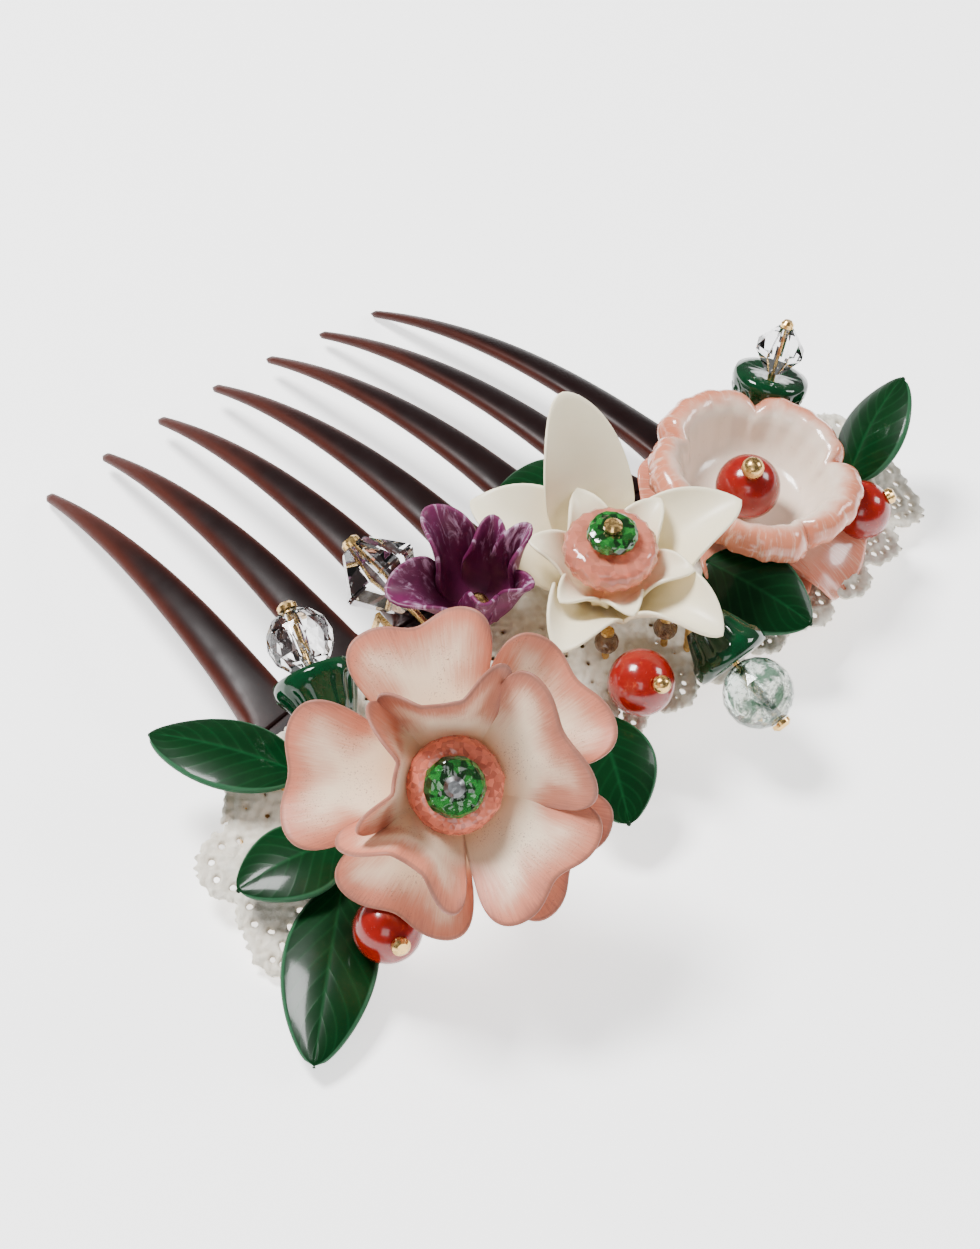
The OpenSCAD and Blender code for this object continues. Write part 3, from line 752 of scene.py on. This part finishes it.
def lace_piece():
    """The lace as small cells, left out where a hole is, and the area of those cells in m2."""
    x, y = np.meshgrid(np.arange(*LACE_X, LACE_CELL), np.arange(*LACE_Y, LACE_CELL), indexing="ij")
    inside, gap = lace_inside(x, y), lace_holes(x, y)
    f = np.minimum(inside, gap)
    cell = f[:-1, :-1] + f[1:, :-1] + f[:-1, 1:] + f[1:, 1:] > 0
    cells_round = np.zeros(x.shape, int)
    for a, b in ((0, 0), (1, 0), (0, 1), (1, 1)):
        cells_round[a:a + cell.shape[0], b:b + cell.shape[1]] += cell
    use = cells_round > 0
    edge = use & (cells_round < 4)
    # points on the rim move towards the true outline
    gx, gy = np.gradient(f, LACE_CELL)
    move = np.clip(-f / (gx ** 2 + gy ** 2 + 1e-6), -0.6 * LACE_CELL, 0.6 * LACE_CELL) * edge
    px, py = x + move * gx, y + move * gy
    relief = 0.12 * np.cos(np.clip(inside, 0, 3) * 2.4) + 0.1 * np.exp(-(np.clip(gap, 0, 3) / 0.4) ** 2)
    relief += 0.14 * np.sin(x * 3.1 + np.sin(y * 2)) * np.sin(y * 3.6 + np.sin(x))
    top = deck(px, py, LACE_Z + LACE_T - 0.28 + relief - 0.25 * edge)[use]
    low = deck(px, py, LACE_Z + 0.02 + 0.2 * edge)[use]
    n = len(top)
    ids = np.zeros(x.shape, int)
    ids[use] = np.arange(n)
    quads = [(ids[i, j], ids[i + 1, j], ids[i + 1, j + 1], ids[i, j + 1]) for i, j in zip(*np.nonzero(cell))]
    sides = {pair for q in quads for pair in zip(q, q[1:] + q[:1])}
    faces = quads + [tuple(n + k for k in q[::-1]) for q in quads]
    faces += [(b, a, n + a, n + b) for a, b in sorted(sides) if (b, a) not in sides]
    # painted shade: the along attribute darkens the lace round its holes, and more on its underside and the
    # walls of the holes
    near = np.exp(-(np.clip(gap, 0, 3) / 0.35) ** 2)[use] * 0.6
    mesh = Mesh()
    mesh.add(np.vstack([top, low]), faces, None, np.concatenate([near, near + 0.4]))
    return mesh.make("lace", LACE, replaces=("lace_base",)), float(cell.sum()) * (LACE_CELL * MM) ** 2


lace, lace_area = lace_piece()

# ------------------------------------------------------------ pink flower

# Each row of a petal table: direction in degrees, length in mm, half its spread
# in degrees, then the depth of its notch or the shape of its rim, and the slopes
# of its rays in degrees, from root to rim

pink_at = place(PINK)
HEART = dict(rim=(0.6, 6.0, 0.5), root=2.0, start=1.8)
flower = Mesh()
for az, reach, spread, notch, beta, sides, kw in (
        (199, 19.6, 27, 0.1, (4, 6, 6, 0, -8), (4, 8, 12, 12, 4), dict(wave=0.5, phase=0.6)),
        (135, 19.2, 29, 0.08, (6, 10, 10, 4, -2), (8, 16, 22, 16, 6), dict(wave=0.5, phase=2.2)),
        (60, 17.8, 29, 0.14, (4, 6, 4, 0, -8), (6, 8, 10, 4, -4), dict(wave=0.5, phase=0.2)),
        (-21, 17.2, 31, 0.1, (4, 6, 4, -2, -8), (6, 12, 14, 10, 2), dict(wave=0.7, phase=1.4)),
        (270, 19.8, 28, 0.07, (6, 10, 10, 4, -8), (8, 16, 20, 18, 8), dict(wave=0.5, phase=2.8))):
    add_petal(flower, pink_at, az, reach=reach, spread=spread, beta=beta, left=sides, right=sides,
              notch=notch, **HEART, **kw)
flower.make("pink_outer", PINK_M, replaces=("pink_outer_petals",))

flower = Mesh()
for az, reach, spread, notch, beta, left, right, kw in (
        (192, 16.3, 35, 0.06, (12, 46, 66, 72, 66), (12, 26, 44, 46, 20), (12, 24, 38, 10, -30),
         dict(hold=0.3, rnd=1.0)),
        (121, 17.6, 37, 0.1, (10, 28, 42, 46, 46), (10, 24, 40, 42, 36), (10, 20, 30, 34, 40),
         dict(hold=0.2, rnd=1.0)),
        (52, 17.6, 33, 0.11, (8, 20, 28, 22, 8), (8, 20, 26, 20, 6), (8, 22, 30, 28, 14), dict()),
        (332, 16.6, 36, 0.05, (12, 46, 66, 70, 58), (12, 26, 40, 34, 10), (12, 22, 34, 28, 0),
         dict(hold=0.25)),
        (264, 16.8, 38, 0.05, (16, 54, 80, 88, 94), (12, 34, 58, 54, 34), (12, 30, 48, 40, 6),
         dict(hold=0.3))):
    add_petal(flower, pink_at, az, lift=1.2, reach=reach, spread=spread, beta=beta, left=left,
              right=right, notch=notch, **HEART, **kw)
flower.make("pink_inner", PINK_M, replaces=("pink_inner_petals",))


def faceted_disc(name, mat, m, r, z0, h, n, node_name):
    """A rondelle with rows of small triangular facets of uneven cut, and its pin hole."""
    o = [(0.5, z0), (r * 0.62, z0), (r * 0.88, z0 + h * 0.22), (r, z0 + h * 0.5),
         (r * 0.97, z0 + h * 0.72), (r * 0.88, z0 + h * 0.88), (r * 0.74, z0 + h * 0.97),
         (r * 0.56, z0 + h), (0.5, z0 + h)]
    mesh = Mesh()
    add_revolved(mesh, o, m, n=n, flat=True, shift=0.5)
    for i in range(n, len(mesh.v) - n):
        mesh.v[i] = [c + rng.uniform(-0.09, 0.09) for c in mesh.v[i]]
        mesh.a["rnd"][i] = rng.random()
    mesh.make(name, mat, replaces=(node_name,))


faceted_disc("pink_coral_disc", CORAL_CUT_M, pink_at, 5.5, 1.7, 4.3, 26, "pink_coral_crystal")
faceted_disc("pink_green_disc", GREEN_M, pink_at, 3.5, 6.05, 2.6, 14, "pink_green_crystal")

# ----------------------------------------------------------- cream flower

cream_at = place(CREAM)
ROUND_TIP = (0.4, 1.7, 0.9)
POINTED = (0.42, 1.25, 1.0)
flower = Mesh()
for az, reach, spread, rim, beta, left, right, side in (
        (62, 25.2, 23, ROUND_TIP, (10, 44, 56, 58, 54), (10, 48, 64, 70, 72), (10, 44, 50, 46, 36), 8),
        (108, 19.4, 31, POINTED, (8, 28, 28, 16, -6), (8, 32, 36, 28, 6), (8, 40, 60, 54, 30), 4),
        (200, 15.4, 31, POINTED, (12, 34, 30, 16, -6), (12, 44, 56, 40, -6), (12, 50, 72, 70, 56), 4),
        (284, 17.2, 30, POINTED, (10, 28, 26, 12, -4), (10, 44, 62, 60, 40), (10, 46, 70, 66, 40), -2),
        (352, 19.4, 30, POINTED, (8, 28, 32, 26, 14), (8, 40, 56, 56, 44), (8, 40, 54, 50, 36), -6)):
    add_petal(flower, cream_at, world_az(CREAM, az), reach=reach, spread=spread, rim=rim, beta=beta,
              left=left, right=right, root=2.6, side=side)
flower.make("cream_outer", CREAM_M, replaces=("cream_outer_petals",))

flower = Mesh()
for az, reach in ((12, 12.2), (70, 12.0), (128, 11.6), (188, 10.6), (246, 10.2), (306, 12.0)):
    add_petal(flower, cream_at, world_az(CREAM, az), lift=1.4, reach=reach, spread=30, rim=POINTED,
              beta=(10, 40, 48, 34, 12), left=(10, 46, 70, 72, 64), right=(10, 46, 70, 72, 64), root=1.9,
              nu=22, nv=25)
flower.make("cream_inner", CREAM_M, replaces=("cream_inner_petals",))

stone = Mesh()
add_revolved(stone, [(0.5, 1.8), (1.8, 1.8), (2.9, 3.4), (4.3, 5.3), (5.3, 6.6), (5.6, 7.4), (5.6, 8.2),
                     (5.3, 9.0), (4.7, 9.5), (3.8, 9.6), (0.5, 9.6)], cream_at, n=40, flutes=20, depth=0.02)
stone.make("cream_coral_stone", CORAL_STONE_M, replaces=("cream_coral_crystal",))
faceted_disc("cream_green_disc", GREEN_M, cream_at, 3.1, 9.7, 2.2, 12, "cream_green_crystal")

# -------------------------------------------------------------- blush cup

cup_at = place(BLUSH)


def cup_piece():
    """A glazed bowl of five lobes that overlap like a pinwheel, with a rolled lip."""
    prof_r = (1.3, 3.4, 5.4, 7.2, 8.4, 9.1, 9.7, 10.6, 11.7, 12.7, 13.2, 13.0)
    prof_z = (1.3, 1.3, 1.5, 2.2, 3.6, 5.2, 6.7, 7.7, 7.9, 7.3, 6.2, 5.0)
    n, k = 200, 60
    u = np.linspace(0, 1, k)[:, None]
    a = (np.arange(n) * 2 * math.pi / n)[None, :]
    turns = ((a - math.radians(world_az(BLUSH, 262))) * 5 / (2 * math.pi)) % 1.0
    arc = np.sin(math.pi * turns) ** 0.7
    crease = np.exp(-(np.minimum(turns, 1 - turns) / 0.07) ** 2)
    f = smooth(u, 0.2, 0.8)
    lip = smooth(u, 0.62, 1.0)
    r = curve_at(prof_r, u) * (1 - f * (0.06 * (1 - arc) + 0.09 * crease)) + lip * (1.1 * turns - 0.7)
    z = curve_at(prof_z, u) + f * (0.8 * arc - 0.7 * crease - 0.3) + lip * 0.5 * np.sin(3 * a + 1)
    r = r + 0.12 * f * np.sin(23 * a + 4 * u) + 0.1 * lip * np.sin(41 * a)
    p = np.stack([r * np.cos(a), r * np.sin(a), z * np.ones_like(a)], 2)
    nn = normals(p, wrap=True)
    top, low = p + nn * 0.35, p - nn * 0.35
    faces = grid_faces(k, n, wrap=True)
    faces += [tuple(k * n + i for i in q) for q in grid_faces(k, n, wrap=True, flip=True)]
    for row in (0, k - 1):
        for j in range(n):
            q = (row * n + j, row * n + (j + 1) % n, (k + row) * n + (j + 1) % n, (k + row) * n + j)
            faces.append(q[::-1] if row == 0 else q)
    along = np.vstack([u * np.ones((1, n)), np.ones((k, n))])
    across = (a / math.pi - 1) * np.ones((2 * k, 1))
    mesh = Mesh()
    mesh.add(np.vstack([top.reshape(-1, 3), low.reshape(-1, 3)]), faces, cup_at, along, across)
    mesh.make("blush_bowl", CUP_M, replaces=("blush_cup",))


cup_piece()
flower = Mesh()
low_at = place(BLUSH_LOW)
for az, reach, beta in (
        (232, 16.4, (2, 4, 0, -14, -20)),
        (292, 17.0, (2, 6, 0, -22, -44)),
        (3, 13.6, (2, 8, 6, -10, -20)),
        (75, 13.6, (2, 8, 10, 4, -4)),
        (147, 14.0, (2, 8, 8, -4, -14))):
    add_petal(flower, low_at, world_az(BLUSH_LOW, az), reach=reach, spread=32, rim=(0.55, 3.5, 0.6),
              beta=beta, left=(2, 14, 18, 4, -20), right=(2, 14, 18, 4, -20), notch=0.04, root=2.0,
              wave=0.6, phase=az / 40)
flower.make("blush_lower", LOW_M, replaces=("blush_lower_petals",))


def bead_piece(name, p, d, node_name, body, rise=0.0):
    """A round bead, slightly flattened round the ends of its hole."""
    mesh = Mesh()
    end = math.asin(HOLE_R * 2 / d)
    angles = np.linspace(end, math.pi - end, 26)
    o = [(d / 2 * math.sin(t), rise - d / 2 * 0.985 * math.cos(t)) for t in angles]
    add_revolved(mesh, o, place(p), n=48)
    mesh.make(name, CORAL_M, body=body, replaces=(node_name,))


bead_piece("blush_centre_bead", BLUSH_BEAD, 8, "blush_bead", ROOT, 6.2)
bead_piece("front_bead_red", FRONT_BEAD, 8, "front_red_bead", "front_red_bead_body")
bead_piece("middle_bead_red", MIDDLE_BEAD, 8, "middle_red_bead", "middle_red_bead_body")
bead_piece("rear_bead_red", REAR_BEAD, 7.4, "rear_red_bead", "rear_red_bead_body")

# ---------------------------------------------------------- purple flower

purple_at = place(PURPLE)
flower = Mesh()
for az, reach, beta, sides, side in (
        (350, 15.0, (36, 68, 82, 78, 58), (36, 80, 106, 108, 92), 10),
        (40, 13.0, (30, 62, 76, 74, 58), (30, 74, 96, 98, 86), 4),
        (95, 14.6, (22, 48, 60, 54, 38), (22, 62, 84, 84, 70), 0),
        (158, 14.4, (14, 36, 44, 36, 22), (14, 54, 74, 72, 58), 0),
        (226, 11.4, (34, 62, 76, 74, 60), (34, 74, 96, 100, 90), 0),
        (290, 12.4, (30, 60, 76, 74, 58), (30, 74, 98, 104, 96), 0)):
    add_petal(flower, purple_at, world_az(PURPLE, az), t=0.5, reach=reach, spread=40,
              rim=(0.5, 1.8, 0.85), beta=beta, left=sides, right=sides, root=1.5, start=1.4, nu=24, nv=31,
              side=side)
flower.make("purple_flower", PURPLE_M, replaces=("purple_petals",))

# ------------------------------------------------------------------ leaves


LEAF_W, LEAF_T = 10.2, 0.8


def leaf_piece(name, base, tip, roll):
    """A leaf from base to tip, arched along its length and cupped across it."""
    base, tip = Vector(base), Vector(tip)
    run = tip - base
    ln = run.length
    m = (Matrix.Translation(base) @ Matrix.Rotation(math.atan2(run.y, run.x), 4, "Z")
         @ Matrix.Rotation(-math.asin(run.z / ln), 4, "Y") @ Matrix.Rotation(math.radians(roll), 4, "X"))
    nu, nv = 44, 33
    u = np.linspace(0, 1, nu)[:, None]
    v = np.linspace(-1, 1, nv)[None, :]
    w = np.maximum(np.sin(math.pi * u ** 0.86) ** 0.66, 0.24 / LEAF_W)
    y = v * w * LEAF_W / 2
    h = 0.9 * np.sin(math.pi * u) + w * (0.175 * (1 - np.exp(-3.0 * np.abs(v))) - 0.8 * v ** 2)
    p = np.stack([u * ln * np.ones_like(y), y, h], 2)
    mesh = Mesh()
    add_sheet(mesh, p, LEAF_T, m, along=u * np.ones_like(y), across=v * np.ones_like(u), rnd=rng.random())
    mesh.make("enamel_" + name, LEAF_M, replaces=(name,))


for name, base, tip, roll in (
        ("leaf_left", (-39.5, -11.5, 12.2), (-48.4, 4.6, 11.4), 2),
        ("leaf_low_left", (-40.5, -20.5, 9.4), (-53.4, -17.6, 7.8), 0),
        ("leaf_front", (-43, -23.5, 6.4), (-60.2, -39, 2.6), 0),
        ("leaf_middle", (-7, -26.5, 12.2), (-11.5, -37.5, 6.4), 0),
        ("leaf_rear", (48.2, -14.4, 7.6), (59.7, -11.1, 16), -30),
        ("leaf_right", (19.5, -17.5, 13.8), (24.6, -30.5, 10.4), 20),
        ("leaf_back", (17, -1.5, 15.8), (6.6, 6, 15.4), 0)):
    leaf_piece(name, base, tip, roll)

# ---------------------------------------------------------- crystal drops


def faceted_ball(name, p, d, node_name, rows, n, mat):
    """A round crystal cut in rows of facets, with its pin hole."""
    mesh = Mesh()
    end = math.asin(HOLE_R * 2 / d) + 0.12
    flat = d / 2 * math.cos(end) * 0.99
    o = [(d / 2 * math.sin(t), -d / 2 * math.cos(t)) for t in np.linspace(end, math.pi - end, rows)]
    add_revolved(mesh, [(HOLE_R, -flat), *o, (HOLE_R, flat)], place(p), n=n, flat=True, shift=0.5)
    mesh.make(name, mat, body=node_name + "_body", replaces=(node_name,))


def bicone_piece(name, p, outline, node_name):
    """A crystal of two eight-sided cones, with its pin hole."""
    mesh = Mesh()
    low, high = outline[0][1], outline[-1][1]
    add_revolved(mesh, [(HOLE_R, low), *outline, (HOLE_R, high)], place(p), n=8, flat=True)
    mesh.make(name, CLEAR_M, body=node_name + "_body", replaces=(node_name,))


faceted_ball("left_crystal_ball", LEFT_DROP, 8, "left_crystal", 7, 14, CLEAR_M)
faceted_ball("front_crystal_ball", FRONT_DROP, 8.6, "front_crystal", 9, 18, MOTTLED_M)
bicone_piece("bicone", BICONE, [(1.5, -5.2), (5.15, -0.25), (5.15, 0.25), (1.8, 4.6)], "bicone_crystal")
bicone_piece("rear_bicone", REAR_DROP, [(1.2, 1.3), (3.2, 4.1), (3.2, 4.6), (1.0, 7.3)], "rear_crystal")


def cone_piece(name, p, r, h, z, node_name, foot=0.56):
    """A fluted glass cap, wide towards the crystal, with a smooth dark lip."""
    mesh = Mesh()
    o = [(HOLE_R, z), (r * 0.8, z), (r * 0.97, z - 0.25), (r, z - 0.9), (r, z - 1.7), (r * 0.93, z - 2.3),
         (r * (0.33 + foot) * 0.95, z - h * 0.45), (r * (0.14 + foot), z - h * 0.75), (r * foot, z - h),
         (HOLE_R, z - h)]
    add_revolved(mesh, o, place(p), n=96, flutes=16, depth=0.03, below=z - 2.2)
    mesh.make(name, BOTTLE_M, body=node_name + "_body", replaces=(node_name,))


cone_piece("left_green_cap", LEFT_DROP, 5.2, 6.5, -4.1, "left_cone")
cone_piece("rear_green_cap", REAR_DROP, 4.8, 6.0, 1.0, "rear_cone", foot=0.66)
cone_piece("front_green_cap", FRONT_DROP, 4.8, 6.0, -4.4, "front_cone")

pair = Mesh()
angles = 0.3 + 0.318 * np.arange(9)
half_bead = [(1.5 * math.sin(t), -1.45 * math.cos(t)) for t in angles]
half_bead[0], half_bead[-1] = (0.5, half_bead[0][1]), (0.5, half_bead[-1][1])
for centre in ((1.4, -19.2, 13.4), (8.7, -21.7, 13)):
    add_revolved(pair, half_bead, Matrix.Translation(centre), n=10, flat=True, shift=0.5)
pair.make("amber_pair", AMBER_M, replaces=("amber_beads",))

# ------------------------------------------------- floor, light and camera


def floor_piece(half=1.5):
    """The pale plain floor that the comb lies on."""
    m, nt, b = material("floor", (0.9, 0.9, 0.9), 0.6, spec=0.2)
    link(nt, mix(nt, noise(nt, 4, 2), (0.93, 0.93, 0.93), (0.95, 0.95, 0.95)), b.inputs["Base Color"])
    b.inputs["Emission Color"].default_value = (1, 1, 1, 1)
    b.inputs["Emission Strength"].default_value = 1.45
    me = bpy.data.meshes.new("floor")
    corners = [(-half, -half, 0), (half, -half, 0), (half, half, 0), (-half, half, 0)]
    me.from_pydata(corners, [], [(0, 1, 2, 3)])
    o = bpy.data.objects.new("floor", me)
    bpy.context.scene.collection.objects.link(o)
    o.data.materials.append(m)


def area_light(name, at, size, power):
    """A square softbox that looks at the comb."""
    light = bpy.data.lights.new(name, "AREA")
    light.shape = "SQUARE"
    light.size = size
    light.energy = power
    o = bpy.data.objects.new(name, light)
    o.location = at
    o.rotation_mode = "QUATERNION"
    o.rotation_quaternion = (Vector((0, -0.01, 0.01)) - Vector(at)).to_track_quat("-Z", "Y")
    bpy.context.scene.collection.objects.link(o)


floor_piece()
area_light("key", (-0.15, 0.30, 0.66), 0.22, 12.0)
area_light("fill", (0.55, -0.3, 0.45), 0.22, 2.6)
area_light("front", (-0.55, -0.45, 0.5), 0.34, 1.3)

world = bpy.data.worlds.new("studio")
bpy.context.scene.world = world
world.use_nodes = True
world.node_tree.nodes["Background"].inputs[0].default_value = (1, 1, 1, 1)
world.node_tree.nodes["Background"].inputs[1].default_value = 0.2

CAMERA_AT = (-0.2386, -0.2434, 0.355)
CAMERA_RIGHT = (0.7452, -0.6652, 0.0465)
CAMERA_UP = (0.4556, 0.5589, 0.6929)
cam_data = bpy.data.cameras.new("camera")
cam = bpy.data.objects.new("camera", cam_data)
bpy.context.scene.collection.objects.link(cam)
bpy.context.scene.camera = cam
cam_data.sensor_width = 36
cam_data.lens = 115.3
cam_data.clip_start, cam_data.clip_end = 0.01, 10
cam_data.dof.use_dof = False
right = Vector(CAMERA_RIGHT).normalized()
back = right.cross(Vector(CAMERA_UP)).normalized()
facing = Matrix((right, back.cross(right), back)).transposed().to_4x4()
cam.matrix_world = Matrix.Translation(CAMERA_AT) @ facing
